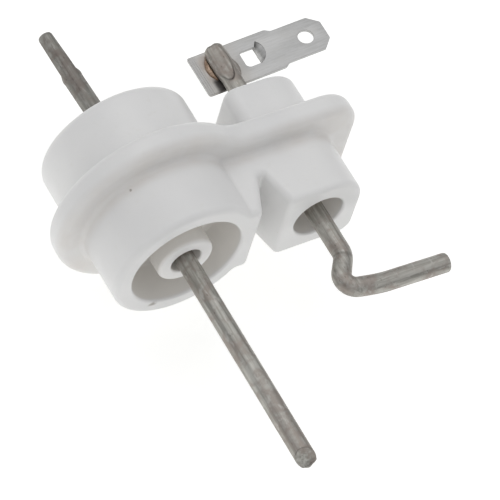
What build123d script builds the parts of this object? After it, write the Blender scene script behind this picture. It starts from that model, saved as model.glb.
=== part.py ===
from build123d import *
import os
from math import cos, sin, tan, radians, sqrt

# Ignition electrode for a gas burner.
# One ceramic insulator carries a straight spark rod and a bent second rod.
# A 6.3 mm spade tag is welded to the tail of the bent rod.
#
# Frame: the origin is on the spark rod's axis, in the plane of the flange's
# seating face. -Y points into the burner, +Y to the wiring side, +X from the
# spark rod to the bent rod, and +Z is up.

# ---------------------------------------------------------------- dimensions
ROD_D = 3.0              # both rods are 3 mm round wire
ROD_R = ROD_D / 2

# flange
FLANGE_T = 3.9           # thickness, from Y = 0 (seat) to Y = +3.9
FLANGE_R = 15.6          # round end, about the spark rod
FLANGE_HZ = 10.3         # half height of the small end
FLANGE_X1 = 33.45        # right end
FLANGE_CORNER = 5.8
FLANGE_NECK = 7.0        # inside radius where the two ends meet
FLANGE_EDGE = 1.35

# big boss, round, about the spark rod
BOSS_R = 11.7
REAR_BOSS_R = 11.95       # the same boss behind the flange
FRONT_Y = -10.0          # front faces of both bosses
REAR_Y = 14.0            # rear face of the big boss
BOSS_EDGE = 1.5          # rear rim
FRONT_EDGE = 1.0         # front rim
SLOT_EDGE = 1.1          # soft lower and upper edges of the slot

# small boss, about the bent rod
ROD_PITCH = 22.2         # distance between the two rods
SMALL_HZ = 6.95
SMALL_X1 = 29.3
SMALL_REAR_Y = 11.5
SMALL_REAR_X0 = 16.3     # left wall of the small boss behind the flange
SMALL_EDGE = 0.9
SMALL_TOP_CORNER = 6.0
SMALL_LOW_CORNER = 2.4

# V-shaped slot that parts the two bosses at the front
SLOT_Y = -4.0            # bottom of the slot
SLOT_ROOT = (13.8, 14.7)  # X of its two bottom corners
SLOT_MOUTH = (11.25, 16.1)  # X of its two sides at the front faces

# moat round the spark rod's nose, front
MOAT_RO = 8.85
MOAT_RI = 4.45
MOAT_DEPTH = 7.0
NOSE_SET_BACK = 0.3
NOSE_BORE_R = 2.4        # wide mouth of the nose
NOSE_BORE_DEPTH = 4.5

# recess round the spark rod, rear
REAR_MOAT_RO = 8.6
REAR_MOAT_RI = 4.3
REAR_MOAT_DEPTH = 3.5

# bores
SPARK_BORE_R = 1.75
BENT_BORE_R = 1.75
BENT_CB_R = 4.1          # front counterbore of the small boss
BENT_CB_DEPTH = 5.5
REAR_MOUTH_R = 2.3
REAR_MOUTH_DEPTH = 1.5

# spark rod
SPARK_FRONT_Y = -45.2     # where the slanting sheared end crosses the axis
SHEAR_LEAN = 33.0         # of the sheared end, from square
SHEAR_SIDE = (-0.458, 0.889)   # x and z of the side it faces
SPARK_REAR_Y = 34.2
PINCH_Y0 = 26.0          # the tail is pressed flat from here on
PINCH_HX = (1.27, 1.14)   # half width of the pressed tail, at its root and at its end
PINCH_TURN = 27.3         # the pressed faces look this far above X

# bent rod
BENT_REAR_Y = 23.2
BEND1 = (ROD_PITCH, -17.4)
BEND2 = (18.65, -22.4)
BEND3 = (24.8, -23.65)
BENT_TIP = (36.2, -24.1)
BEND_RADII = (3.0, 1.95, 22.0)

# spade tag, in its own frame: x along the tag from the rod's axis, y = Y
TAG_TWIST = 5.2          # degrees about the bent rod
TAG_T = 0.55
TAG_X0 = -3.9            # left end
TAG_BODY_X1 = 9.35       # end of the wide part
TAG_BLADE_X0 = 10.15
TAG_X1 = 18.05           # tip of the blade
TAG_YC = 20.0            # centre line of the tag
TAG_BODY_HW = 3.72
TAG_BLADE_HW = 3.15      # 6.3 mm blade
TAG_HOLE_X = 14.68
TAG_HOLE_R = 1.25
WINDOW_X = (3.82, 6.75)
WINDOW_Y = (18.5, 21.5)
SCOOP = ((7.0, 22.5), (7.75, 20.9), (6.75, 18.75))  # its edge in the plate
PLATE_TOP = -1.25        # the rod is sunk 0.25 mm into the plate by welding

# weld and cement
WELD_LEFT = ((-1.1, 22.8), (-2.3, 20.2), (-1.5, 18.3))   # outer edge, left bead
WELD_RIGHT = ((1.5, 21.9), (2.7, 19.6), (1.5, 17.0))     # outer edge, right bead
WELD_H = 0.6
# flat that the welding electrode left on the tail of the bent rod
FLAT_ANGLE = 118.0       # direction it faces, degrees round the rod
FLAT_D = 1.22            # its distance from the rod's axis
FLAT_Y = (16.1, 16.8)    # it starts here and has its full depth from here
CEMENT_SUNK = 0.4        # how far the cement stays below the rear faces

os.makedirs("parts", exist_ok=True)


# ---------------------------------------------------------------- insulator
# The flange: a round end and a squarer end, with a soft edge all round.
with BuildPart() as flange:
    with BuildSketch(Plane.XZ) as flange_sk:
        Circle(FLANGE_R)
        with Locations((FLANGE_X1 / 2, 0)):
            Rectangle(FLANGE_X1, 2 * FLANGE_HZ)
        fillet(flange_sk.vertices().group_by(Axis.X)[-1], FLANGE_CORNER)
        necks = [v for v in flange_sk.vertices() if 9 < v.X < 13]
        fillet(necks, FLANGE_NECK)
    extrude(amount=-FLANGE_T)
    fillet(flange.faces().sort_by(Axis.Y)[0].edges()
           + flange.faces().sort_by(Axis.Y)[-1].edges(), FLANGE_EDGE)

# The front bosses: one outline, parted by the slot.
with BuildPart() as front_boss:
    with BuildSketch(Plane.XZ.offset(-1)) as front_sk:
        Circle(BOSS_R)
        with Locations((SMALL_X1 / 2, 0)):
            Rectangle(SMALL_X1, 2 * SMALL_HZ)
        right = front_sk.vertices().group_by(Axis.X)[-1].sort_by(Axis.Y)
        fillet(right[-1], SMALL_TOP_CORNER)
        fillet([v for v in front_sk.vertices() if v.X > SMALL_X1 - 0.1 and v.Y < -5],
               SMALL_LOW_CORNER)
        fillet([v for v in front_sk.vertices() if 8 < v.X < 11], 1.0)
    extrude(amount=1 - FRONT_Y)
    with BuildSketch(Plane.XY.offset(-15)) as slot_sk:
        k = (SLOT_Y - (FRONT_Y - 3)) / (SLOT_Y - FRONT_Y)
        xl = SLOT_ROOT[0] + k * (SLOT_MOUTH[0] - SLOT_ROOT[0])
        xr = SLOT_ROOT[1] + k * (SLOT_MOUTH[1] - SLOT_ROOT[1])
        with BuildLine():
            Polyline((xl, FRONT_Y - 3), (SLOT_ROOT[0], SLOT_Y), (SLOT_ROOT[1], SLOT_Y),
                     (xr, FRONT_Y - 3), close=True)
        make_face()
        fillet(slot_sk.vertices().group_by(Axis.Y)[-1], 0.35)
    extrude(amount=30, mode=Mode.SUBTRACT)
    fillet([e for e in front_boss.edges()
            if abs(abs((e @ 0.5).Z) - SMALL_HZ) < 0.01 and 10.5 < (e @ 0.5).X < 17
            and FRONT_Y + 0.05 < (e @ 0.5).Y < SLOT_Y + 0.05], SLOT_EDGE)
    front_faces = front_boss.faces().filter_by(Axis.Y).group_by(Axis.Y)[0].sort_by(Axis.X)
    fillet(front_faces[0].edges(), FRONT_EDGE)
    front_faces = front_boss.faces().filter_by(Axis.Y).group_by(Axis.Y)[0].sort_by(Axis.X)
    fillet(front_faces[-1].edges(), SMALL_EDGE)

# The rear bosses: two separate ones behind the flange.
with BuildPart() as rear_boss:
    with BuildSketch(Plane.XZ.offset(-FLANGE_T + 1)):
        Circle(REAR_BOSS_R)
    extrude(amount=-(REAR_Y - FLANGE_T + 1))
    fillet(rear_boss.faces().sort_by(Axis.Y)[-1].edges(), BOSS_EDGE)
with BuildPart() as rear_small:
    with BuildSketch(Plane.XZ.offset(-FLANGE_T + 1)) as rear_sk:
        with Locations(((SMALL_X1 + SMALL_REAR_X0) / 2, 0)):
            Rectangle(SMALL_X1 - SMALL_REAR_X0, 2 * SMALL_HZ)
        right = rear_sk.vertices().group_by(Axis.X)[-1].sort_by(Axis.Y)
        fillet(right[-1], SMALL_TOP_CORNER)
        fillet([v for v in rear_sk.vertices() if v.X > SMALL_X1 - 0.1 and v.Y < -5],
               SMALL_LOW_CORNER)
        fillet(rear_sk.vertices().group_by(Axis.X)[0], 2.0)
    extrude(amount=-(SMALL_REAR_Y - FLANGE_T + 1))
    fillet(rear_small.faces().sort_by(Axis.Y)[-1].edges(), SMALL_EDGE)

with BuildPart() as ceramic_insulator:
    add(flange.part)
    add(front_boss.part)
    add(rear_boss.part)
    add(rear_small.part)
    # soft roots where the bosses leave the flange
    front_root = [e for e in ceramic_insulator.edges()
                  if abs(e.bounding_box().min.Y) < 0.01 and abs(e.bounding_box().max.Y) < 0.01
                  and max(abs((e @ t).X) if (e @ t).X < 0 else 0 for t in (0, 0.5, 1)) < BOSS_R + 0.1
                  and (e @ 0.5).X < SMALL_X1 + 0.1
                  and abs((e @ 0.5).Z) < BOSS_R + 0.1]
    front_root = [e for e in front_root
                  if not (((e @ 0.5).X < 9 and abs(sqrt((e @ 0.5).X ** 2 + (e @ 0.5).Z ** 2) - BOSS_R) > 0.3)
                          or ((e @ 0.5).X >= 9 and abs((e @ 0.5).Z) > SMALL_HZ + 0.5))]
    fillet(front_root, 0.8)

    # moat round the nose, and the nose set back behind the rim
    with BuildSketch(Plane.XZ.offset(-FRONT_Y)):
        Circle(MOAT_RO)
        Circle(MOAT_RI, mode=Mode.SUBTRACT)
    extrude(amount=-MOAT_DEPTH, mode=Mode.SUBTRACT)
    with BuildSketch(Plane.XZ.offset(-FRONT_Y)):
        Circle(MOAT_RI + 0.5)
    extrude(amount=-NOSE_SET_BACK, mode=Mode.SUBTRACT)
    # rear recess
    with BuildSketch(Plane.XZ.offset(-REAR_Y)):
        Circle(REAR_MOAT_RO)
        Circle(REAR_MOAT_RI, mode=Mode.SUBTRACT)
    extrude(amount=REAR_MOAT_DEPTH, mode=Mode.SUBTRACT)
    # spark rod's bore, with its wide mouths
    with BuildSketch(Plane.XZ.offset(-FRONT_Y)):
        Circle(SPARK_BORE_R)
    extrude(amount=-(REAR_Y - FRONT_Y), mode=Mode.SUBTRACT)
    with BuildSketch(Plane.XZ.offset(-FRONT_Y)):
        Circle(NOSE_BORE_R)
    extrude(amount=-NOSE_BORE_DEPTH, mode=Mode.SUBTRACT)
    with BuildSketch(Plane.XZ.offset(-REAR_Y)):
        Circle(REAR_MOUTH_R)
    extrude(amount=REAR_MOUTH_DEPTH, mode=Mode.SUBTRACT)
    # bent rod's bore and its front counterbore
    with BuildSketch(Plane.XZ.offset(-FRONT_Y)):
        with Locations((ROD_PITCH, 0)):
            Circle(BENT_BORE_R)
    extrude(amount=-(REAR_Y - FRONT_Y), mode=Mode.SUBTRACT)
    with BuildSketch(Plane.XZ.offset(-FRONT_Y)):
        with Locations((ROD_PITCH, 0)):
            Circle(BENT_CB_R)
    extrude(amount=-BENT_CB_DEPTH, mode=Mode.SUBTRACT)
    with BuildSketch(Plane.XZ.offset(-SMALL_REAR_Y)):
        with Locations((ROD_PITCH, 0)):
            Circle(REAR_MOUTH_R)
    extrude(amount=REAR_MOUTH_DEPTH, mode=Mode.SUBTRACT)

    def ring(xc, r, y):
        """The round edges of radius r about x = xc in the plane Y = y."""
        return [e for e in ceramic_insulator.edges().filter_by(GeomType.CIRCLE)
                if abs(e.radius - r) < 0.02 and abs(e.arc_center.X - xc) < 0.02
                and abs(e.arc_center.Z) < 0.02 and abs(e.arc_center.Y - y) < 0.02]

    fillet(ring(0, MOAT_RO, FRONT_Y), 0.45)
    fillet(ring(0, MOAT_RI, FRONT_Y + NOSE_SET_BACK), 0.6)
    fillet(ring(0, NOSE_BORE_R, FRONT_Y + NOSE_SET_BACK), 0.35)
    fillet(ring(0, MOAT_RO, FRONT_Y + MOAT_DEPTH), 0.8)
    fillet(ring(0, MOAT_RI, FRONT_Y + MOAT_DEPTH), 0.8)
    fillet(ring(ROD_PITCH, BENT_CB_R, FRONT_Y), 0.4)
    fillet(ring(ROD_PITCH, BENT_CB_R, FRONT_Y + BENT_CB_DEPTH), 0.6)
    fillet(ring(0, REAR_MOAT_RO, REAR_Y), 0.5)
    fillet(ring(0, REAR_MOAT_RI, REAR_Y), 0.5)
    fillet(ring(0, REAR_MOAT_RO, REAR_Y - REAR_MOAT_DEPTH), 0.8)
    fillet(ring(0, REAR_MOAT_RI, REAR_Y - REAR_MOAT_DEPTH), 0.8)
ceramic_insulator.part.label = "ceramic_insulator"

# ---------------------------------------------------------------- spark rod
# Straight wire; the tail leans a little to one side where it was pressed flat.
TAIL_KINK = (0.0, REAR_Y + 2.5)
TAIL_LEAN = 2.6          # degrees towards -X
TAIL_L = SPARK_REAR_Y - TAIL_KINK[1]
TAIL_END = (-TAIL_L * tan(radians(TAIL_LEAN)), SPARK_REAR_Y)
with BuildPart() as spark_rod:
    with BuildLine(Plane.XY) as spark_path:
        FilletPolyline((0, SPARK_FRONT_Y - 2), TAIL_KINK, TAIL_END, radius=60)
    with BuildSketch(Plane(origin=(0, SPARK_FRONT_Y - 2, 0), x_dir=(1, 0, 0), z_dir=(0, 1, 0))):
        Circle(ROD_R)
    sweep()
    # rounded tail
    fillet(spark_rod.faces().sort_by(Axis.Y)[-1].edges(), 1.05)
    # front end sheared off on the slant, with a soft edge
    shear = radians(SHEAR_LEAN)
    with BuildSketch(Plane(origin=(0, SPARK_FRONT_Y, 0),
                           z_dir=(SHEAR_SIDE[0] * sin(shear), -cos(shear), SHEAR_SIDE[1] * sin(shear)))):
        Rectangle(9, 9)
    extrude(amount=5, mode=Mode.SUBTRACT)
    # two flats on the tail, so that a push-on lead end grips it
    tail_axis = Vector(-sin(radians(TAIL_LEAN)), cos(radians(TAIL_LEAN)), 0)
    face_dir = Vector(cos(radians(PINCH_TURN)), 0, sin(radians(PINCH_TURN)))
    face_dir = (face_dir - tail_axis * face_dir.dot(tail_axis)).normalized()
    across = face_dir.cross(tail_axis)
    for side in (-1, 1):
        with BuildSketch(Plane(origin=Vector(TAIL_KINK[0], TAIL_KINK[1], 0) - across * 3,
                               x_dir=face_dir, z_dir=across)):
            py0 = PINCH_Y0 - TAIL_KINK[1]
            with BuildLine():
                Polyline((side * PINCH_HX[1], TAIL_L + 1), (side * PINCH_HX[0], py0 + 0.7),
                         (side * (ROD_R + 0.05), py0), (side * 3, py0),
                         (side * 3, TAIL_L + 1), close=True)
            make_face()
        extrude(amount=6, mode=Mode.SUBTRACT)
spark_rod.part.label = "spark_rod"

# ---------------------------------------------------------------- bent rod
with BuildPart() as bent_rod:
    with BuildLine(Plane.XY) as bent_path:
        FilletPolyline((ROD_PITCH, BENT_REAR_Y), BEND1, BEND2, BEND3, BENT_TIP,
                       radius=BEND_RADII)
    with BuildSketch(Plane(origin=(ROD_PITCH, BENT_REAR_Y, 0), x_dir=(1, 0, 0), z_dir=(0, -1, 0))):
        Circle(ROD_R)
    sweep()
    fillet(bent_rod.faces().sort_by(Axis.X)[-1].edges(), 0.35)
    fillet(bent_rod.faces().sort_by(Axis.Y)[-1].edges(), 0.75)
    # flat pressed on the tail by the welding electrode
    a = radians(FLAT_ANGLE)
    with BuildSketch(Plane(origin=(ROD_PITCH, 0, 0), x_dir=(0, 1, 0), z_dir=(sin(a), 0, -cos(a)))):
        with BuildLine():
            Polyline((FLAT_Y[0], ROD_R + 0.05), (FLAT_Y[1], FLAT_D), (BENT_REAR_Y + 1, FLAT_D),
                     (BENT_REAR_Y + 1, 3), (FLAT_Y[0], 3), close=True)
        make_face()
    extrude(amount=3, both=True, mode=Mode.SUBTRACT)
bent_rod.part.label = "bent_rod"

# ---------------------------------------------------------------- spade tag
# Its frame is turned about the bent rod; n is its upward normal.
tag_x = Vector(cos(radians(TAG_TWIST)), 0, sin(radians(TAG_TWIST)))
tag_n = Vector(-sin(radians(TAG_TWIST)), 0, cos(radians(TAG_TWIST)))
tag_o = Vector(ROD_PITCH, 0, 0)


def tag_flat(h):
    """Plane of the tag at height h above the rod's axis; x along the tag, y = Y."""
    return Plane(origin=tag_o + tag_n * h, x_dir=tag_x, z_dir=tag_n)


def tag_cross(y):
    """Cross section plane of the tag at Y = y; x along the tag, y up."""
    return Plane(origin=tag_o + Vector(0, y, 0), x_dir=tag_x, z_dir=(0, -1, 0))


with BuildPart() as spade_tag:
    y0, y1 = TAG_YC - TAG_BODY_HW, TAG_YC + TAG_BODY_HW
    b0, b1 = TAG_YC - TAG_BLADE_HW, TAG_YC + TAG_BLADE_HW
    with BuildSketch(tag_flat(PLATE_TOP - TAG_T)) as tag_sk:
        with BuildLine():
            Polyline((TAG_X0, y0), (TAG_BODY_X1, y0), (TAG_BLADE_X0, b0),
                     (TAG_X1 - 1.5, b0), (TAG_X1, b0 + 1.5), (TAG_X1, b1 - 1.5),
                     (TAG_X1 - 1.7, b1), (TAG_BLADE_X0, b1), (TAG_BODY_X1, y1),
                     (TAG_X0, y1), close=True)
        make_face()
        fillet(tag_sk.vertices().group_by(Axis.X)[0].sort_by(Axis.Y)[0], 0.4)
        fillet(tag_sk.vertices().group_by(Axis.X)[0].sort_by(Axis.Y)[-1], 0.15)
        with Locations((TAG_HOLE_X, TAG_YC)):
            Circle(TAG_HOLE_R, mode=Mode.SUBTRACT)
        with Locations(((WINDOW_X[0] + WINDOW_X[1]) / 2, (WINDOW_Y[0] + WINDOW_Y[1]) / 2)):
            RectangleRounded(WINDOW_X[1] - WINDOW_X[0], WINDOW_Y[1] - WINDOW_Y[0], 0.55,
                             mode=Mode.SUBTRACT)
    extrude(amount=TAG_T)
    # coined edges of the blade
    blade_rim = [e for e in spade_tag.edges()
                 if (e @ 0.5 - tag_o).dot(tag_x) > TAG_BLADE_X0 + 0.2
                 and abs((e @ 0.5 - tag_o).dot(tag_n) - PLATE_TOP + TAG_T / 2) > TAG_T / 2 - 0.01
                 and (Vector((e @ 0.5).X, (e @ 0.5).Y, (e @ 0.5).Z)
                      - (tag_o + tag_x * TAG_HOLE_X + Vector(0, TAG_YC, 0)
                         + tag_n * PLATE_TOP)).length > TAG_HOLE_R + 0.75]
    chamfer(blade_rim, 0.15)
    # the rod's seat
    with BuildSketch(tag_cross(y1 + 1)):
        Circle(ROD_R + 0.005)
    extrude(amount=2 * TAG_BODY_HW + 2, mode=Mode.SUBTRACT)
    # half-round scoop pressed down beside the window
    with BuildSketch(tag_flat(PLATE_TOP - TAG_T - 0.5)):
        with BuildLine():
            ThreePointArc(SCOOP[0], SCOOP[1], SCOOP[2])
            Polyline(SCOOP[2], (WINDOW_X[1] - 0.6, WINDOW_Y[0] + 0.3),
                     (WINDOW_X[1] - 0.6, WINDOW_Y[1] - 0.1), SCOOP[0])
        make_face()
    extrude(amount=2, mode=Mode.SUBTRACT)
    with BuildSketch(tag_cross(SCOOP[0][1] - 0.1)):
        with BuildLine():
            Polyline((8.05, PLATE_TOP - 0.25), (8.05, PLATE_TOP - TAG_T), (7.2, -2.55),
                     (6.45, -2.75), (6.35, -2.4), (7.0, -2.15), (7.45, -1.75),
                     (7.5, PLATE_TOP - 0.25), close=True)
        make_face()
    extrude(amount=SCOOP[0][1] - SCOOP[2][1] - 0.5)
spade_tag.part.label = "spade_tag"

# ---------------------------------------------------------------- weld
# Metal squeezed out on both sides of the rod where it was welded to the tag.
with BuildPart() as tag_weld:
    for side, edge in ((-1, WELD_LEFT), (1, WELD_RIGHT)):
        with BuildSketch(tag_flat(PLATE_TOP)):
            with BuildLine():
                ThreePointArc(*edge)
                Polyline(edge[2], (side * 0.9, edge[2][1]), (side * 0.9, edge[0][1]), edge[0])
            make_face()
        extrude(amount=WELD_H, dir=tag_n)
    with BuildSketch(tag_cross(26)):
        Circle(ROD_R + 0.005)
    extrude(amount=12, mode=Mode.SUBTRACT)
    add(spade_tag.part, mode=Mode.SUBTRACT)
tag_weld.part.label = "tag_weld"

# ---------------------------------------------------------------- cement
# Refractory cement that fills the gap between each rod and its bore, with a
# slightly sunk collar in the wide mouths.
with BuildPart() as spark_rod_cement:
    with BuildSketch(Plane.XZ.offset(-FRONT_Y - NOSE_BORE_DEPTH + 1.0)):
        Circle(NOSE_BORE_R)
        Circle(ROD_R, mode=Mode.SUBTRACT)
    extrude(amount=-1.0)
    with BuildSketch(Plane.XZ.offset(-FRONT_Y - NOSE_BORE_DEPTH)):
        Circle(SPARK_BORE_R)
        Circle(ROD_R, mode=Mode.SUBTRACT)
    extrude(amount=-(REAR_Y - FRONT_Y - NOSE_BORE_DEPTH - REAR_MOUTH_DEPTH))
    with BuildSketch(Plane.XZ.offset(-(REAR_Y - REAR_MOUTH_DEPTH))):
        Circle(REAR_MOUTH_R)
        Circle(ROD_R, mode=Mode.SUBTRACT)
    extrude(amount=-(REAR_MOUTH_DEPTH - CEMENT_SUNK))
spark_rod_cement.part.label = "spark_rod_cement"
with BuildPart() as bent_rod_cement:
    with BuildSketch(Plane.XZ.offset(-FRONT_Y - BENT_CB_DEPTH)):
        with Locations((ROD_PITCH, 0)):
            Circle(BENT_BORE_R)
            Circle(ROD_R, mode=Mode.SUBTRACT)
    extrude(amount=-(SMALL_REAR_Y - FRONT_Y - BENT_CB_DEPTH - REAR_MOUTH_DEPTH))
    with BuildSketch(Plane.XZ.offset(-(SMALL_REAR_Y - REAR_MOUTH_DEPTH))):
        with Locations((ROD_PITCH, 0)):
            Circle(REAR_MOUTH_R)
            Circle(ROD_R, mode=Mode.SUBTRACT)
    extrude(amount=-(REAR_MOUTH_DEPTH - CEMENT_SUNK))
bent_rod_cement.part.label = "bent_rod_cement"

for part in (ceramic_insulator.part, spark_rod.part, bent_rod.part, spade_tag.part,
             tag_weld.part, spark_rod_cement.part, bent_rod_cement.part):
    print(part.label, len(part.solids()), round(part.volume, 2), part.is_valid)
    export_step(part, f"parts/{part.label}.step")
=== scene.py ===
import math
import bpy
import bmesh
from mathutils import Matrix, Vector, noise


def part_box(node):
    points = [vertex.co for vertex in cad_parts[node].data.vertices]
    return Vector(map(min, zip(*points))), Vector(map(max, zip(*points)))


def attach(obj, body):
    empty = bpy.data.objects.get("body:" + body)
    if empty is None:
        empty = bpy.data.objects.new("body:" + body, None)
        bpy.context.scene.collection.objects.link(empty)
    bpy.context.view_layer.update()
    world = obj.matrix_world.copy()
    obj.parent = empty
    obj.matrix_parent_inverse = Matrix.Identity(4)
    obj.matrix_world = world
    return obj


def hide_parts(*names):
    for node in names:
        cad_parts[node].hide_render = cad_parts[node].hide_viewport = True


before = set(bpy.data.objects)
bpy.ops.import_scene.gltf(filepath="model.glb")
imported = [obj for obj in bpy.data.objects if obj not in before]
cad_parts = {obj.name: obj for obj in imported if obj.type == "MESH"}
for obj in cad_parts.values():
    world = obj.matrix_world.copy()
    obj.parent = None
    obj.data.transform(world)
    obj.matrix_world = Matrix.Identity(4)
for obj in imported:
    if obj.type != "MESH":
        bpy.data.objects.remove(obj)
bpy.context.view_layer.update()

scene = bpy.context.scene
scene.view_settings.view_transform = "Standard"
scene.view_settings.look = "None"

PITCH = 0.0222           # distance between the rods
TWIST = math.radians(5.2)
lo_s, hi_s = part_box("spark_rod")
lo_t, hi_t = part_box("spade_tag")
lo_c, hi_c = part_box("ceramic_insulator")


# ---------------------------------------------------------------- node helpers
class Mat:
    """A small helper that builds one procedural material."""

    def __init__(self, name):
        self.m = bpy.data.materials.new(name)
        self.m.use_nodes = True
        self.t = self.m.node_tree
        self.t.nodes.clear()
        self.out = self.n("ShaderNodeOutputMaterial")
        self.p = self.n("ShaderNodeBsdfPrincipled")
        self.t.links.new(self.p.outputs[0], self.out.inputs[0])
        self.co = self.n("ShaderNodeTexCoord").outputs["Object"]

    def n(self, kind, **kw):
        node = self.t.nodes.new(kind)
        for k, v in kw.items():
            setattr(node, k, v)
        return node

    def put(self, sock, v):
        if isinstance(v, bpy.types.NodeSocket):
            self.t.links.new(v, sock)
        elif isinstance(v, (tuple, list)) and len(v) == 3 and sock.type == "RGBA":
            sock.default_value = (*v, 1.0)
        else:
            sock.default_value = v

    def set(self, **kw):
        for k, v in kw.items():
            self.put(self.p.inputs[k.replace("_", " ")], v)

    def vec(self, scale=(1, 1, 1), loc=(0, 0, 0), rot=(0, 0, 0), src=None):
        k = self.n("ShaderNodeMapping")
        self.put(k.inputs["Vector"], src or self.co)
        k.inputs["Scale"].default_value = scale
        k.inputs["Location"].default_value = loc
        k.inputs["Rotation"].default_value = rot
        return k.outputs[0]

    def noise(self, vec, scale, detail=4.0, rough=0.55, dist=0.0):
        k = self.n("ShaderNodeTexNoise")
        self.put(k.inputs["Vector"], vec)
        k.inputs["Scale"].default_value = scale
        k.inputs["Detail"].default_value = detail
        k.inputs["Roughness"].default_value = rough
        k.inputs["Distortion"].default_value = dist
        return k.outputs[0]

    def voronoi(self, vec, scale, feature="F1"):
        k = self.n("ShaderNodeTexVoronoi", feature=feature)
        self.put(k.inputs["Vector"], vec)
        k.inputs["Scale"].default_value = scale
        return k.outputs[0]

    def math(self, op, a, b=None, c=None, clamp=False):
        k = self.n("ShaderNodeMath", operation=op, use_clamp=clamp)
        self.put(k.inputs[0], a)
        if b is not None:
            self.put(k.inputs[1], b)
        if c is not None:
            self.put(k.inputs[2], c)
        return k.outputs[0]

    def ramp(self, v, a, b, lo=0.0, hi=1.0):
        """v mapped smoothly from a..b to lo..hi."""
        k = self.n("ShaderNodeMapRange", interpolation_type="SMOOTHSTEP")
        self.put(k.inputs[0], v)
        k.inputs[1].default_value = a
        k.inputs[2].default_value = b
        k.inputs[3].default_value = lo
        k.inputs[4].default_value = hi
        return k.outputs[0]

    def mix(self, f, a, b, blend="MIX"):
        k = self.n("ShaderNodeMix", data_type="RGBA", blend_type=blend)
        self.put(k.inputs[0], f)
        self.put(k.inputs[6], a)
        self.put(k.inputs[7], b)
        return k.outputs[2]

    def xyz(self, src=None):
        k = self.n("ShaderNodeSeparateXYZ")
        self.put(k.inputs[0], src or self.co)
        return k.outputs

    def dist(self, p, scale=(1, 1, 1)):
        """Distance in metres from the point p, stretched by scale."""
        k = self.n("ShaderNodeVectorMath", operation="LENGTH")
        d = self.n("ShaderNodeVectorMath", operation="SUBTRACT")
        self.put(d.inputs[0], self.co)
        d.inputs[1].default_value = p
        s = self.n("ShaderNodeVectorMath", operation="MULTIPLY")
        self.put(s.inputs[0], d.outputs[0])
        s.inputs[1].default_value = scale
        self.put(k.inputs[0], s.outputs[0])
        return k.outputs["Value"]

    def blob(self, p, r0, r1, scale=(1, 1, 1)):
        """1 inside r0 of p, falling to 0 at r1."""
        return self.ramp(self.dist(p, scale), r0, r1, 1.0, 0.0)

    def bump(self, height, strength, distance, normal=None):
        k = self.n("ShaderNodeBump")
        self.put(k.inputs["Height"], height)
        k.inputs["Strength"].default_value = strength
        k.inputs["Distance"].default_value = distance
        if normal is not None:
            self.put(k.inputs["Normal"], normal)
        return k.outputs[0]


# ---------------------------------------------------------------- materials
TAG_A = (0.445, 0.445, 0.440)
TAG_B = (0.555, 0.555, 0.552)
ROD_DARK = (0.300, 0.293, 0.266)
ROD_LIGHT = (0.520, 0.510, 0.475)
ROD_BROWN = (0.335, 0.290, 0.262)
ROD_TINT = (0.330, 0.280, 0.250)


def ceramic_material():
    m = Mat("glazed_ceramic")
    x, y, z = m.xyz()
    cloud = m.noise(m.co, 70, 3, 0.5)
    fine = m.noise(m.co, 900, 3, 0.6)
    grain = m.noise(m.co, 2600, 2, 0.6)
    base = m.mix(m.ramp(cloud, 0.35, 0.65), (0.770, 0.768, 0.765), (0.810, 0.807, 0.800))
    base = m.mix(m.ramp(fine, 0.58, 0.75, 0, 0.25), base, (0.735, 0.725, 0.695))
    # warmer colour inside the moat, on the nose and in the counterbore: partly unglazed ceramic, partly painted
    # shade of these hollows
    r = m.math("SQRT", m.math("ADD", m.math("MULTIPLY", x, x), m.math("MULTIPLY", z, z)))
    inside = m.math("MULTIPLY", m.ramp(r, 0.00885, 0.0090, 1, 0), m.ramp(y, -0.0099, -0.0092, 0, 1))
    xb = m.math("SUBTRACT", x, PITCH)
    rb = m.math("SQRT", m.math("ADD", m.math("MULTIPLY", xb, xb), m.math("MULTIPLY", z, z)))
    inside_b = m.math("MULTIPLY", m.ramp(rb, 0.0041, 0.0043, 1, 0), m.ramp(y, -0.0099, -0.0090, 0, 1))
    warm = m.math("MAXIMUM", inside, inside_b)
    base = m.mix(m.math("MULTIPLY", warm, 0.75), base, (0.800, 0.775, 0.735))
    # faint painted brown shade along the crease where the front bosses leave the flange
    root = m.math("MULTIPLY", m.ramp(m.math("ABSOLUTE", m.math("ADD", y, 0.0004)), 0.0003, 0.0020, 1, 0),
                  m.ramp(m.noise(m.co, 160, 3), 0.3, 0.7, 0.25, 0.8))
    base = m.mix(m.math("MULTIPLY", root, 0.40), base, (0.680, 0.610, 0.545))
    # blemishes
    rim = m.blob((-0.0041, -0.0100, -0.0085), 0.25, 0.95, (900, 1600, 1600))
    spot = m.blob((-0.0065, -0.0012, 0.0097), 0.10, 0.30, (1000, 1000, 1000))
    marks = m.math("MULTIPLY", m.math("MAXIMUM", rim, spot), m.ramp(fine, 0.40, 0.60, 0.2, 0.9))
    base = m.mix(marks, base, (0.34, 0.31, 0.28))
    specks = m.ramp(m.voronoi(m.co, 170), 0.018, 0.035, 0.30, 0.0)
    base = m.mix(specks, base, (0.55, 0.50, 0.44))
    rough = m.ramp(m.noise(m.co, 320, 3), 0.3, 0.7, 0.36, 0.50)
    rough = m.math("ADD", rough, m.math("MULTIPLY", warm, 0.18))
    n1 = m.bump(cloud, 0.35, 0.0006)
    n2 = m.bump(m.noise(m.co, 520, 2), 0.20, 0.00012, n1)
    n3 = m.bump(grain, 0.12, 0.00003, n2)
    m.set(Base_Color=base, Roughness=rough, Normal=n3)
    m.p.inputs["IOR"].default_value = 1.5
    m.p.inputs["Coat Weight"].default_value = 0.12
    m.p.inputs["Coat Roughness"].default_value = 0.28
    return m.m


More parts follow.
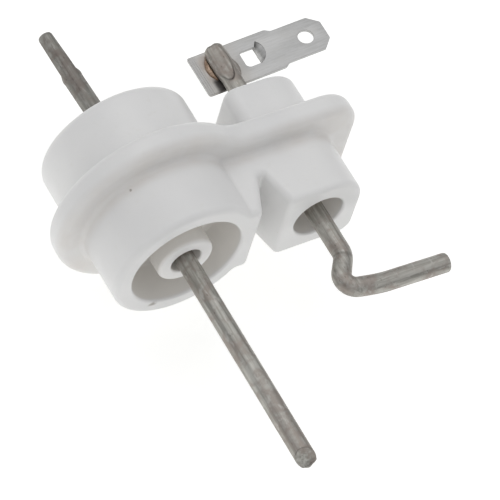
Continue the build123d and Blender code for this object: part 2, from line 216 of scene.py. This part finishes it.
def rod_material(name, bent):
    m = Mat(name)
    x, y, z = m.xyz()
    dark = m.n("ShaderNodeAttribute", attribute_name="dark").outputs["Fac"]
    tint = m.n("ShaderNodeAttribute", attribute_name="tint").outputs["Fac"]
    along_y = m.vec(scale=(1, 0.05, 1))
    streak = m.noise(along_y, 2200, 4, 0.6)
    if bent:
        along_x = m.vec(scale=(0.05, 1, 1))
        tail = m.math("MULTIPLY", m.ramp(x, 0.0215, 0.0245), m.ramp(y, -0.0205, -0.0220))
        s_x = m.noise(along_x, 2200, 4, 0.6)
        k = m.n("ShaderNodeMix", data_type="FLOAT")
        m.put(k.inputs[0], tail)
        m.put(k.inputs[2], streak)
        m.put(k.inputs[3], s_x)
        streak = k.outputs[0]
    patch = m.noise(m.co, 420, 4, 0.62, 0.4)
    fleck = m.noise(m.vec(scale=(1, 0.35, 1)), 1500, 3, 0.6)
    base = m.mix(m.ramp(streak, 0.35, 0.65), ROD_DARK, ROD_LIGHT)
    base = m.mix(m.ramp(patch, 0.44, 0.62, 0, 0.70), base, ROD_BROWN)
    base = m.mix(m.ramp(fleck, 0.56, 0.70, 0, 0.55), base, (0.62, 0.61, 0.58))
    base = m.mix(m.math("MULTIPLY", tint, m.ramp(patch, 0.3, 0.65, 0.35, 0.8)), base, ROD_TINT)
    pits = m.ramp(m.voronoi(m.vec(scale=(1, 0.4, 1)), 1500), 0.05, 0.16, 0.5, 0.0)
    base = m.mix(pits, base, (0.10, 0.09, 0.08))
    base = m.mix(m.math("MULTIPLY", dark, 0.92, clamp=True), base, (0.030, 0.026, 0.024))
    rough = m.ramp(m.math("ADD", m.math("MULTIPLY", streak, 0.6), m.math("MULTIPLY", patch, 0.4)),
                   0.35, 0.65, 0.42, 0.60)
    rough = m.math("ADD", rough, m.math("MULTIPLY", dark, 0.25))
    n1 = m.bump(streak, 0.30, 0.00004)
    n2 = m.bump(patch, 0.18, 0.00012, n1)
    n3 = m.bump(fleck, 0.15, 0.00005, n2)
    m.set(Base_Color=base, Roughness=rough, Normal=n3)
    m.p.inputs["Metallic"].default_value = 0.85
    return m.m


def tag_material():
    m = Mat("tag_steel")
    flat = m.vec(rot=(0, TWIST, 0))
    x, y, z = m.xyz()
    dark = m.n("ShaderNodeAttribute", attribute_name="dark").outputs["Fac"]
    brush = m.noise(m.vec(scale=(0.10, 1, 0.3), src=flat), 3600, 5, 0.65)
    cloud = m.noise(m.co, 260, 3, 0.5)
    blotch = m.noise(m.co, 900, 4, 0.6)
    base = m.mix(m.ramp(brush, 0.35, 0.65), TAG_A, TAG_B)
    base = m.mix(m.ramp(cloud, 0.50, 0.72, 0, 0.30), base, (0.450, 0.442, 0.425))
    # heat tint round the weld: straw further out, copper and brown near the rod
    xb = m.math("SUBTRACT", x, PITCH)
    left = m.math("MULTIPLY", m.ramp(xb, -0.0031, -0.0021), m.ramp(xb, 0.0, 0.0005, 1, 0))
    left = m.math("MULTIPLY", left, m.math("MULTIPLY", m.ramp(y, 0.0176, 0.0190), m.ramp(y, 0.0236, 0.0228)))
    base = m.mix(m.math("MULTIPLY", left, m.ramp(blotch, 0.30, 0.62, 0.15, 0.6)), base, (0.280, 0.200, 0.150))
    near = m.ramp(m.math("ABSOLUTE", xb), 0.0022, 0.0052, 1, 0)
    base = m.mix(m.math("MULTIPLY", near, m.ramp(cloud, 0.30, 0.62, 0.18, 0.50)), base, (0.430, 0.405, 0.375))
    # painted contact shadow beside the rod, with the rod's dark underside reflected in it, on the ceramic side of
    # the weld
    crevice_shadow = m.math("MULTIPLY", m.ramp(xb, -0.0026, -0.0017), m.ramp(xb, -0.0006, 0.0, 1, 0))
    crevice_shadow = m.math("MULTIPLY", crevice_shadow, m.ramp(y, 0.0190, 0.0180))
    base = m.mix(m.math("MULTIPLY", crevice_shadow, 0.85), base, (0.030, 0.027, 0.025))
    scr = m.ramp(m.noise(m.vec(scale=(0.10, 1, 1), rot=(0, 0, 0.5), src=flat), 5200, 2, 0.5), 0.66, 0.72, 0, 0.30)
    base = m.mix(scr, base, (0.55, 0.55, 0.55))
    base = m.mix(m.math("MULTIPLY", dark, 0.9, clamp=True), base, (0.055, 0.050, 0.045))
    rough = m.ramp(brush, 0.35, 0.65, 0.42, 0.55)
    # fine ribs rolled into the left end
    lines = m.math("SINE", m.math("MULTIPLY", x, 2 * math.pi / 0.00036))
    lines = m.math("MULTIPLY", lines, m.ramp(x, PITCH - 0.0030, PITCH - 0.0022, 1, 0))
    n0 = m.bump(cloud, 0.25, 0.00025)
    n1 = m.bump(brush, 0.16, 0.00003, n0)
    n2 = m.bump(lines, 0.45, 0.00005, n1)
    m.set(Base_Color=base, Roughness=rough, Normal=n2)
    m.p.inputs["Metallic"].default_value = 0.85
    return m.m


def weld_material():
    m = Mat("weld_metal")
    dark = m.n("ShaderNodeAttribute", attribute_name="dark").outputs["Fac"]
    tint = m.n("ShaderNodeAttribute", attribute_name="tint").outputs["Fac"]
    a = m.noise(m.co, 900, 4, 0.6)
    b = m.noise(m.co, 3800, 3, 0.6)
    base = m.mix(m.ramp(a, 0.35, 0.65), (0.42, 0.41, 0.39), (0.55, 0.54, 0.52))
    copper = m.mix(m.ramp(a, 0.35, 0.62), (0.30, 0.195, 0.135), (0.55, 0.41, 0.31))
    base = m.mix(tint, base, copper)
    base = m.mix(m.ramp(b, 0.55, 0.75, 0, 0.5), base, (0.15, 0.12, 0.10))
    base = m.mix(m.math("MULTIPLY", dark, 0.95, clamp=True), base, (0.020, 0.017, 0.016))
    m.set(Base_Color=base, Roughness=m.ramp(b, 0.3, 0.7, 0.36, 0.56),
          Normal=m.bump(a, 0.5, 0.00012))
    m.p.inputs["Metallic"].default_value = 0.8
    return m.m


def cement_material():
    m = Mat("cement")
    a = m.noise(m.co, 1300, 4, 0.65)
    b = m.voronoi(m.co, 3500)
    base = m.mix(m.ramp(a, 0.35, 0.65), (0.36, 0.34, 0.31), (0.47, 0.45, 0.42))
    base = m.mix(m.ramp(b, 0.1, 0.3, 0.4, 0.0), base, (0.24, 0.22, 0.20))
    m.set(Base_Color=base, Roughness=m.ramp(a, 0.3, 0.7, 0.75, 0.92),
          Normal=m.bump(a, 0.6, 0.00012))
    return m.m


# ---------------------------------------------------------------- mesh helpers
MM = 0.001


def fillet_path(pts, radii, step):
    """Points, in mm, along a planar polyline with rounded corners, about step apart."""
    out = [Vector(pts[0])]
    for i in range(1, len(pts) - 1):
        a, b, c = Vector(pts[i - 1]), Vector(pts[i]), Vector(pts[i + 1])
        u, v = (a - b).normalized(), (c - b).normalized()
        half = math.acos(max(-1, min(1, u.dot(v)))) / 2
        r = radii[i - 1]
        t = r / math.tan(half)
        centre = b + (u + v).normalized() * (r / math.sin(half))
        s, e = b + u * t, b + v * t
        ds, de = (s - centre), (e - centre)
        turn = ds.angle_signed(de)
        n = max(4, int(abs(turn) * r / step))
        for k in range(n + 1):
            an = -turn * k / n
            out.append(centre + Vector((ds.x * math.cos(an) - ds.y * math.sin(an),
                                        ds.x * math.sin(an) + ds.y * math.cos(an))))
    out.append(Vector(pts[-1]))
    line = []
    for p, q in zip(out, out[1:]):
        n = max(1, int((q - p).length / step))
        line += [p.lerp(q, k / n) for k in range(n)]
    line.append(out[-1])
    return line


def smooth01(x, a, b):
    t = max(0.0, min(1.0, (x - a) / (b - a)))
    return t * t * (3 - 2 * t)


def add_object(name, verts, faces, attrs, mat, replaces=()):
    me = bpy.data.meshes.new(name)
    me.from_pydata(verts, [], faces)
    me.validate()
    for key, values in attrs.items():
        at = me.attributes.new(key, "FLOAT", "POINT")
        at.data.foreach_set("value", values)
    me.shade_smooth()
    me.materials.append(mat)
    ob = bpy.data.objects.new(name, me)
    scene.collection.objects.link(ob)
    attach(ob, "root")
    if replaces:
        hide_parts(*replaces)
    return ob


def wire(name, path, seg, shape, ends, mat, replaces):
    """A round wire along a planar path in mm. shape(p, s, total, angle, out) gives the radius and
    the two surface marks; ends are the end rounding radii in mm."""
    total = sum((q - p).length for p, q in zip(path, path[1:]))
    rings = []
    s = 0.0
    for i, p in enumerate(path):
        if i:
            s += (p - path[i - 1]).length
        a = path[max(0, i - 1)]
        b = path[min(len(path) - 1, i + 1)]
        rings.append((p, (b - a).normalized(), s))
    # finer rings towards both ends, so that they can be rounded
    first, last = rings[0], rings[-1]
    r0, r1 = ends
    head = [(first[0] + first[1] * (r0 * (1 - math.cos(k * math.pi / 16))), first[1],
             r0 * (1 - math.cos(k * math.pi / 16)), r0 * (1 - math.sin(k * math.pi / 16)))
            for k in range(9)]
    tail = [(last[0] - last[1] * (r1 * (1 - math.cos(k * math.pi / 16))), last[1],
             total - r1 * (1 - math.cos(k * math.pi / 16)), r1 * (1 - math.sin(k * math.pi / 16)))
            for k in range(9)][::-1]
    body = [(p, t, s, 0.0) for p, t, s in rings if r0 + 0.05 < s < total - r1 - 0.05]
    allr = head + body + tail
    verts, faces, dark, tint = [], [], [], []
    for p, t, s, inset in allr:
        side = Vector((-t.y, t.x))
        for k in range(seg):
            an = 2 * math.pi * k / seg
            r, d, h = shape(p, s, total, an, t)
            r = max(0.02, r - inset)
            v = (p.x + side.x * r * math.cos(an), p.y + side.y * r * math.cos(an), r * math.sin(an))
            verts.append((v[0] * MM, v[1] * MM, v[2] * MM))
            dark.append(d)
            tint.append(h)
    n = len(allr)
    for i in range(n - 1):
        for k in range(seg):
            a, b = i * seg + k, i * seg + (k + 1) % seg
            faces.append((a, a + seg, b + seg, b))
    # end caps in three rings
    for end, (p, t, s, inset) in ((0, allr[0]), (n - 1, allr[-1])):
        side = Vector((-t.y, t.x))
        prev = [end * seg + k for k in range(seg)]
        for f in (0.93, 0.86, 0.72, 0.58, 0.44, 0.30, 0.16):
            ring = []
            for k in range(seg):
                base = Vector(verts[end * seg + k]) - Vector((p.x * MM, p.y * MM, 0))
                w = noise.noise(Vector((k * 0.4, f * 7, end))) * 0.00003
                q = Vector((p.x * MM, p.y * MM, 0)) + base * f + Vector((t.x, t.y, 0)) * w
                ring.append(len(verts))
                verts.append(tuple(q))
                dark.append(0.15)
                tint.append(tint[end * seg])
            for k in range(seg):
                a, b, c, d = prev[k], prev[(k + 1) % seg], ring[(k + 1) % seg], ring[k]
                faces.append((a, b, c, d) if end == 0 else (d, c, b, a))
            prev = ring
        centre = len(verts)
        verts.append((p.x * MM, p.y * MM, 0))
        dark.append(0.15)
        tint.append(tint[end * seg])
        for k in range(seg):
            a, b = prev[k], prev[(k + 1) % seg]
            faces.append((a, b, centre) if end == 0 else (b, a, centre))
    return add_object(name, verts, faces, {"dark": dark, "tint": tint}, mat, replaces)


# ---------------------------------------------------------------- spark rod
LEAN = math.radians(2.6)
PINCH_DIR = Vector((math.cos(math.radians(27.3)), math.sin(math.radians(27.3))))
SIDE_CAM = Vector((-0.458, 0.889))     # across the spark rod: the side that carries the dark groove line


def spark_shape(p, s, total, an, t):
    y = p.y
    side = Vector((-t.y, t.x))
    # direction of this point across the wire, as (x, z)
    dx, dz = side.x * math.cos(an), math.sin(an)
    n = noise.noise(Vector((dx * 1.3, y * 0.35, dz * 1.3)))
    r = 1.5 + 0.006 * n
    dark = 0.0
    if y > 24:
        # pressed on two sides: a step, then flats that close in towards the end
        half = 1.27 - 0.13 * smooth01(y, 26.7, 34.0)
        depth = smooth01(y, 25.9, 26.6)
        c = dx * PINCH_DIR.x + dz * PINCH_DIR.y
        flat = 1.5 + (half - 1.5) * depth
        if abs(c) > 1e-3 and flat / abs(c) < r:
            r = flat / abs(c)
        if abs(c) > 0.55:
            # metal heaped up in front of the step
            r += 0.07 * max(0, 1 - abs(y - 25.7) / 0.55) * smooth01(abs(c), 0.55, 0.9)
            dark = 0.40 * max(0, 1 - abs(y - 26.25) / 0.35) * smooth01(abs(c), 0.7, 0.9)
    # shallow groove with a dark line along the camera side of the tail
    a = math.atan2(dz, dx) - math.atan2(SIDE_CAM.y, SIDE_CAM.x)
    a = (a + math.pi) % (2 * math.pi) - math.pi
    wob = noise.noise(Vector((0.0, y * 0.9, 2.0)))
    off = abs(a * 1.5 - 0.10 - 0.10 * wob)
    along = smooth01(y, 20.5, 21.8) * (1 - smooth01(y, 29.6, 30.6))
    along *= 0.62 + 0.38 * noise.noise(Vector((1.0, y * 1.6, 0.0)))
    g = along * max(0.0, 1 - off / 0.20)
    r -= 0.035 * smooth01(g, 0, 1)
    dark = max(dark, min(1.0, 0.85 * g))
    # soft scorched patches at both ends of the dark groove line
    blot = 0.0
    for cy, ry, rw in ((21.9, 2.0, 0.95), (29.6, 1.5, 0.7), (25.4, 1.2, 0.4)):
        q = 1 - math.hypot((y - cy) / ry, off / rw)
        blot = max(blot, q)
    dark = max(dark, 0.42 * smooth01(blot, 0, 0.9))
    tint = 0.25 * smooth01(-y, 36, 43) + 0.55 * smooth01(blot, 0, 0.7)
    dark = max(dark, 0.34 * smooth01(y, 14, 19))
    return r, dark, tint


def shear_y(x, z):
    """Y, in mm, of the slanting sheared end at a point across the rod."""
    d = x * SIDE_CAM.x + z * SIDE_CAM.y
    y = SHEAR_Y + d * math.tan(math.radians(33))
    # torn lip on the far side, with a small burr
    y -= 0.16 * smooth01(-d, 0.55, 1.0)
    over = -45.92 - y
    if over > 0:
        y = -45.92 - 0.22 * over
    y -= 0.20 * smooth01(1 - math.hypot(x - 0.35, z + 1.25) / 0.7, 0, 1)
    return y


def build_spark():
    y0 = SHEAR_Y - 0.2
    y1 = hi_l_spark[1]
    kink = 16.5
    pts = [(0, y0), (0, kink), (-(y1 - 0.03 - kink) * math.tan(LEAN), y1 - 0.03)]
    ob = wire("spark_rod_wire", fillet_path(pts, (60,), 0.22), 72, spark_shape, (0.10, 1.05),
              MATS["spark_rod"], ("spark_rod",))
    # bend the square front end onto the sheared plane, over its last 4 mm
    me = ob.data
    dark = me.attributes["dark"].data
    tint = me.attributes["tint"].data
    for v in me.vertices:
        x, y, z = v.co / MM
        if y < y0 + 4.0:
            w = 1 - (y - y0) / 4.0
            w = w * w if w < 1 else 1.0
            if y0 + 0.02 <= y < y0 + 0.5:
                # painted shade just behind the sheared face's edge, to make the edge read crisp
                near = 0.34 * (1 - (y - y0) / 0.5)
                dark[v.index].value = max(dark[v.index].value, near)
            v.co.y += (shear_y(x, z) - y0) * w * MM
            if y < y0 + 0.02:
                rr = math.hypot(x, z)
                d = x * SIDE_CAM.x + z * SIDE_CAM.y
                shade = 0.05 + 0.10 * noise.noise(Vector((x * 1.2, 0, z * 1.2)))
                shade += 0.30 * smooth01(-d, 0.85, 1.0)
                shade += 0.35 * max(0, 1 - abs(d + 0.95) / 0.12)
                shade -= 0.15 * smooth01(rr, 1.0, 1.3)
                dark[v.index].value = max(0.0, min(1.0, shade))
                tint[v.index].value = 0.0 if rr < 1.2 else 0.2
    me.update()
    me.set_sharp_from_angle(angle=math.radians(24))
    return ob


# ---------------------------------------------------------------- bent rod
FLAT = math.radians(118)
FLAT_DIR = Vector((math.cos(FLAT), math.sin(FLAT)))


def bent_shape(p, s, total, an, t):
    side = Vector((-t.y, t.x))
    dx, dz = side.x * math.cos(an), math.sin(an)
    n = noise.noise(Vector((p.x * 0.5 + math.cos(an), p.y * 0.5, dz * 1.2)))
    r = 1.5 + 0.007 * n
    dark, tint = 0.0, 0.15
    if p.y > 15 and p.x < 23:
        y = p.y
        c = dx * FLAT_DIR.x + dz * FLAT_DIR.y
        a = math.atan2(dz, dx) - FLAT
        a = (a + math.pi) % (2 * math.pi) - math.pi
        v = 1.5 * math.sin(a)                 # across the pressed face, + towards the free end of the tag's left
        # oval mark of the electrode: centre at y 19.9, 7.0 long, 2.3 wide
        e = math.hypot((y - 19.9) / 3.65, v / 1.22) if c > 0 else 9.0
        e *= 1 + 0.05 * noise.noise(Vector((y * 0.8, v * 1.2, 3.0)))
        wide = smooth01(y, 16.9, 19.0) * (1 - smooth01(y, 21.2, 23.3))
        # the wire spreads sideways where it was squeezed
        r += 0.17 * wide * smooth01(abs(math.sin(a)), 0.55, 1.0) * (1 if c > -0.5 else 0)
        press = 1 - smooth01(e, 0.86, 1.06)
        lump = 0.035 * noise.noise(Vector((dx * 2.2, y * 1.0, dz * 2.2)))
        if press > 0 and c > 0.2:
            d = 1.20 + lump + 0.05 * ((y - 19.9) / 3.5) ** 2
            flat = d / c
            if flat < r:
                r = r + (flat - r) * press
        tint = 0.30 + 0.35 * (1 - smooth01(e, 0.7, 1.0))
        # reddish heat tint low on the mark; a painted shade line round its front and right, where the small step
        # faces away from the light
        tint = max(tint, 0.95 * max(0, 1 - math.hypot((y - 17.6) / 0.9, (v + 0.75) / 0.6)))
        ring = max(0, 1 - abs(e - 1.02) / 0.085) if c > 0 else 0
        front = smooth01(19.0 - y, 0.0, 2.2)
        dark = max(dark, ring * (0.12 + 0.62 * front + 0.22 * (1 if v < 0 else 0)))
        r -= 0.04 * ring * front
        # scorched rim on the dome of the end
        spots = smooth01(noise.noise(Vector((dx * 2.6, y * 2.6, dz * 2.6))), -0.05, 0.35)
        dark = max(dark, 0.60 * smooth01(y, 22.75, 23.1) * spots)
    # bends: a little oval, with blotchy painted shade of the bend's inner crease
    for bx, by, rad in ((21.9, -18.0, 2.2), (19.4, -22.3, 2.6)):
        w = max(0.0, 1 - math.hypot(p.x - bx, p.y - by) / rad)
        r -= 0.06 * w * math.cos(an) ** 2
        dark = max(dark, 0.35 * w * smooth01(noise.noise(Vector((p.x * 2, p.y * 2, dz * 2))), 0.0, 0.4))
    return r, dark, tint


def build_bent():
    y1 = hi_l_bent[1]
    pts = [(22.2, y1), (22.2, -17.4), (18.65, -22.4), (24.8, -23.65), (36.2, -24.1)]
    return wire("bent_rod_wire", fillet_path(pts, (3.0, 1.95, 22.0), 0.16), 96, bent_shape,
                (0.62, 0.36), MATS["bent_rod"], ("bent_rod",))


# ---------------------------------------------------------------- spade tag
TAG_X = Vector((math.cos(TWIST), 0, math.sin(TWIST)))
TAG_N = Vector((-math.sin(TWIST), 0, math.cos(TWIST)))


def tag_point(x, y, h):
    """A point of the tag's own frame, in mm, as a row point in metres."""
    return (Vector((22.2, 0, 0)) + TAG_X * x + Vector((0, y, 0)) + TAG_N * h) * MM


def arc3(a, b, c, n):
    """n + 1 points on the circle through a, b and c, from a to c."""
    ax, ay, bx, by, cx, cy = *a, *b, *c
    d = 2 * (ax * (by - cy) + bx * (cy - ay) + cx * (ay - by))
    ux = ((ax ** 2 + ay ** 2) * (by - cy) + (bx ** 2 + by ** 2) * (cy - ay) + (cx ** 2 + cy ** 2) * (ay - by)) / d
    uy = ((ax ** 2 + ay ** 2) * (cx - bx) + (bx ** 2 + by ** 2) * (ax - cx) + (cx ** 2 + cy ** 2) * (bx - ax)) / d
    r = math.hypot(ax - ux, ay - uy)
    a0, a2 = math.atan2(ay - uy, ax - ux), math.atan2(cy - uy, cx - ux)
    if a2 - a0 > math.pi:
        a2 -= 2 * math.pi
    if a0 - a2 > math.pi:
        a2 += 2 * math.pi
    return [(ux + r * math.cos(a0 + (a2 - a0) * k / n), uy + r * math.sin(a0 + (a2 - a0) * k / n))
            for k in range(n + 1)]


def rounded(corners, n=6):
    """Closed outline of (x, y, radius) corners with rounded ones."""
    out = []
    m = len(corners)
    for i in range(m):
        a, b, c = corners[i - 1], corners[i], corners[(i + 1) % m]
        r = b[2]
        if r <= 0:
            out.append((b[0], b[1]))
            continue
        A, B, C = Vector(a[:2]), Vector(b[:2]), Vector(c[:2])
        u, v = (A - B).normalized(), (C - B).normalized()
        half = math.acos(max(-1, min(1, u.dot(v)))) / 2
        t = r / math.tan(half)
        centre = B + (u + v).normalized() * (r / math.sin(half))
        mid = centre + (B - centre).normalized() * r
        out += arc3(tuple(B + u * t), tuple(mid), tuple(B + v * t), n)
    return out


PLATE_TOP, TAG_T, YC = -1.25, 0.55, 20.0
SCOOP = ((7.0, 22.5), (7.75, 20.9), (6.75, 18.75))


def build_tag():
    edge = 0.07
    hw, bw = 3.72 - edge, 3.15 - edge
    x0, x1, xb, xt = -3.9 + edge, 9.35, 10.15, 18.05 - edge
    outline = rounded([
        (x0, YC - hw, 0.42), (x1, YC - hw, 0.9), (xb, YC - bw, 0.9), (xt - 1.5, YC - bw, 0.25),
        (xt, YC - bw + 1.5, 0.25), (xt, YC + bw - 1.5, 0.25), (xt - 1.7, YC + bw, 0.25),
        (xb, YC + bw, 0.9), (x1, YC + hw, 0.9), (x0, YC + hw, 0.12)])
    hole = [(14.68 + (1.25 + edge) * math.cos(k * math.pi / 24), YC + (1.25 + edge) * math.sin(k * math.pi / 24))
            for k in range(48)]
    e = edge
    window = arc3((3.82 - e, 19.35), (4.05 - e, 18.74 - e), (4.67, 18.5 - e), 8)
    window += [(6.30, 18.5 - e)]
    window += [(x + e, y) for x, y in arc3(SCOOP[2], SCOOP[1], SCOOP[0], 18)]
    window += [(6.72, 22.0), (6.45, 21.5 + e), (5.9, 21.5 + e)]
    window += arc3((4.37, 21.5 + e), (3.98 - e, 21.34 + e), (3.82 - e, 20.95), 6)
    cu = bpy.data.curves.new("tag_outline", "CURVE")
    cu.dimensions = "2D"
    cu.fill_mode = "BOTH"
    cu.extrude = (TAG_T / 2 - edge)
    cu.bevel_depth = edge
    cu.bevel_resolution = 3
    for loop in (outline, hole, window):
        sp = cu.splines.new("POLY")
        sp.points.add(len(loop) - 1)
        for i, (x, y) in enumerate(loop):
            sp.points[i].co = (x, y, 0, 1)
        sp.use_cyclic_u = True
    tmp = bpy.data.objects.new("tag_outline", cu)
    scene.collection.objects.link(tmp)
    dg = bpy.context.evaluated_depsgraph_get()
    me = bpy.data.meshes.new_from_object(tmp.evaluated_get(dg))
    scene.collection.objects.unlink(tmp)
    bpy.data.objects.remove(tmp)
    bm = bmesh.new()
    bm.from_mesh(me)
    bmesh.ops.remove_doubles(bm, verts=bm.verts, dist=1e-4)
    bmesh.ops.triangulate(bm, faces=bm.faces)
    verts, faces, dark = [], [], []
    for v in bm.verts:
        verts.append(tuple(tag_point(v.co.x, v.co.y, PLATE_TOP - TAG_T / 2 + v.co.z)))
        dark.append(0.0)
    for f in bm.faces:
        faces.append(tuple(v.index for v in f.verts))
    bm.free()
    # scoop beside the window: a bowl-like tongue, closed, 0.3 mm thick
    nu, nv = 24, 12
    rim = arc3(SCOOP[0], SCOOP[1], SCOOP[2], nu)
    front, back, scoop_shade = [], [], []
    for i, (x, y) in enumerate(rim):
        u = i / nu
        row_f, row_b = [], []
        for k in range(nv + 1):
            v = k / nv
            a = v * math.pi / 2
            xe = 6.74 - 0.14 * abs(2 * u - 1) ** 2
            ye = 22.05 + (18.95 - 22.05) * u
            px = x + (xe - x) * math.sin(a) ** 1.2
            py = y + (ye - y) * v
            ph = PLATE_TOP - 0.12 - (0.95 * (1 - math.cos(a)) + 0.25 * math.sin(a)) * (1 - 0.25 * abs(2 * u - 1))
            row_f.append(tuple(tag_point(px, py, ph)))
            row_b.append(tuple(tag_point(px + 0.22 * math.cos(a), py, ph - 0.12 - 0.25 * math.sin(a))))
            # painted shade deep in the bowl, at both of its ends
            scoop_shade.append(max(0.0, 1 - u * 3.2) * 0.9 + max(0.0, u - 0.72) * 2.2)
        front.append(row_f)
        back.append(row_b)
    base = len(verts)
    w = nv + 1
    for row in front:
        verts += row
    for row in back:
        verts += row
    # painted shade on the underside of the tongue
    dark += [min(1.0, d) for d in scoop_shade] + [0.6] * len(scoop_shade)
    off = (nu + 1) * w
    for i in range(nu):
        for k in range(nv):
            a = base + i * w + k
            faces.append((a, a + 1, a + w + 1, a + w))
            faces.append((a + off, a + off + w, a + off + w + 1, a + off + 1))
    for i in range(nu):
        for k in (0, nv):
            a, b = base + i * w + k, base + (i + 1) * w + k
            faces.append((a, b, b + off, a + off) if k == 0 else (b, a, a + off, b + off))
    for k in range(nv):
        for i in (0, nu):
            a, b = base + i * w + k, base + i * w + k + 1
            faces.append((b, a, a + off, b + off) if i == 0 else (a, b, b + off, a + off))
    ob = add_object("spade_tag_pressing", verts, faces, {"dark": dark}, MATS["spade_tag"],
                    ("spade_tag",))
    bm = bmesh.new()
    bm.from_mesh(ob.data)
    bmesh.ops.recalc_face_normals(bm, faces=bm.faces)
    bm.to_mesh(ob.data)
    bm.free()
    ob.data.set_sharp_from_angle(angle=math.radians(35))
    return ob


# ---------------------------------------------------------------- weld beads
def build_weld():
    verts, faces, dark, tint = [], [], [], []
    n, m = 56, 20
    for side, edge, hh in ((-1, ((-1.1, 22.9), (-2.3, 20.2), (-1.5, 18.2)), 0.62),
                           (1, ((1.45, 22.0), (2.72, 19.6), (1.5, 16.9)), 0.50)):
        line = arc3(*edge, n)
        base = len(verts)
        for i, (x, y) in enumerate(line):
            u = i / n
            env = math.sin(math.pi * min(1, max(0, u))) ** 0.55
            inner = side * (1.38 if side < 0 else 1.15)
            half = max(0.04, abs(x - inner) / 2 * 1.02)
            cx = (x + inner) / 2
            wob = noise.noise(Vector((y * 1.7, side, 0.3)))
            h = hh * env * (1 + 0.22 * wob) + 0.03
            for k in range(m):
                a = 2 * math.pi * k / m
                q = 1 + 0.06 * noise.noise(Vector((y * 3.0, math.cos(a) * 1.5, math.sin(a) * 1.5)))
                px = cx + half * math.cos(a) * q
                ph = PLATE_TOP - 0.12 + (h + 0.12) * max(-0.35, math.sin(a)) * q
                verts.append(tuple(tag_point(px, y, ph)))
                # painted shade on the inner side of each bead, in the gap against the rod
                inside = smooth01(-side * math.cos(a), 0.15, 0.85)
                dark.append(min(1.0, inside * (1.0 if side < 0 else 0.55)))
                tint.append(1.0 if side < 0 else 0.25)
        for i in range(n):
            for k in range(m):
                a, b = base + i * m + k, base + i * m + (k + 1) % m
                faces.append((a, b, b + m, a + m))
        for end in (0, n):
            c = len(verts)
            ring = [base + end * m + k for k in range(m)]
            mid = sum((Vector(verts[r]) for r in ring), Vector()) / m
            verts.append(tuple(mid))
            dark.append(0.4)
            tint.append(1.0 if side < 0 else 0.25)
            for k in range(m):
                a, b = ring[k], ring[(k + 1) % m]
                faces.append((b, a, c) if end == 0 else (a, b, c))
    ob = add_object("tag_weld_beads", verts, faces, {"dark": dark, "tint": tint}, MATS["tag_weld"],
                    ("tag_weld",))
    bm = bmesh.new()
    bm.from_mesh(ob.data)
    bmesh.ops.recalc_face_normals(bm, faces=bm.faces)
    bm.to_mesh(ob.data)
    bm.free()
    return ob


SHEAR_Y = -45.2
hi_l_spark = (None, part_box("spark_rod")[1][1] * 1000)
hi_l_bent = (None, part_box("bent_rod")[1][1] * 1000)

MATS = {
    "ceramic_insulator": ceramic_material(),
    "spark_rod": rod_material("spark_rod_steel", False),
    "bent_rod": rod_material("bent_rod_steel", True),
    "spade_tag": tag_material(),
    "tag_weld": weld_material(),
    "spark_rod_cement": cement_material(),
}
MATS["bent_rod_cement"] = MATS["spark_rod_cement"]
for name, mat in MATS.items():
    for s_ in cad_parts[name].material_slots:
        s_.material = mat

build_spark()
build_bent()
build_tag()
build_weld()

# ---------------------------------------------------------------- stage
floor_mesh = bpy.data.meshes.new("floor")
bm = bmesh.new()
bmesh.ops.create_grid(bm, x_segments=8, y_segments=8, size=1.5)
bm.to_mesh(floor_mesh)
bm.free()
floor = bpy.data.objects.new("floor", floor_mesh)
floor.location = (0, 0, lo_c[2] - 0.0002)
scene.collection.objects.link(floor)
fm = Mat("floor_white")
fm.set(Base_Color=(0.86, 0.86, 0.86), Roughness=0.9)
fm.p.inputs["Emission Color"].default_value = (1, 1, 0.975, 1)
fm.p.inputs["Emission Strength"].default_value = 0.47
floor.data.materials.append(fm.m)

world = bpy.data.worlds.new("studio")
scene.world = world
world.use_nodes = True
wt = world.node_tree
bg = wt.nodes["Background"]
bg.inputs[0].default_value = (0.985, 0.990, 1.0, 1)
wc = wt.nodes.new("ShaderNodeTexCoord")
ws = wt.nodes.new("ShaderNodeSeparateXYZ")
wm = wt.nodes.new("ShaderNodeMapRange")
wm.interpolation_type = "SMOOTHSTEP"
wt.links.new(wc.outputs["Generated"], ws.inputs[0])
wt.links.new(ws.outputs[2], wm.inputs[0])
wm.inputs[1].default_value = -0.05
wm.inputs[2].default_value = 0.85
wm.inputs[3].default_value = 0.27
wm.inputs[4].default_value = 0.76
wt.links.new(wm.outputs[0], bg.inputs[1])


def area(name, loc, target, size, power, color=(1, 1, 1)):
    d = bpy.data.lights.new(name, "AREA")
    d.shape = "RECTANGLE"
    d.size, d.size_y = size
    d.energy = power
    d.color = color
    o = bpy.data.objects.new(name, d)
    o.location = loc
    o.rotation_euler = (Vector(target) - Vector(loc)).to_track_quat("-Z", "Y").to_euler()
    scene.collection.objects.link(o)
    return o


area("key", (0.05, 0.25, 0.65), (0.01, 0, 0), (0.50, 0.50), 0.65, (1.0, 0.99, 0.98))

# ---------------------------------------------------------------- camera
cam_data = bpy.data.cameras.new("camera")
cam_data.sensor_fit = "HORIZONTAL"
cam_data.sensor_width = 36.0
cam_data.lens = 240.75
cam_data.clip_start = 0.01
cam_data.clip_end = 20.0
cam = bpy.data.objects.new("camera", cam_data)
R0 = Vector((0.85874922, -0.47576674, 0.19025192))
R1 = Vector((-0.30173215, -0.76963269, -0.56269284))
R2 = Vector((0.41413463, 0.42580691, -0.80447559))
rot = Matrix((R0, -R1, -R2)).transposed()
cam.matrix_world = Matrix.Translation((-0.19061867, -0.21736257, 0.38907523)) @ rot.to_4x4()
scene.collection.objects.link(cam)
scene.camera = cam
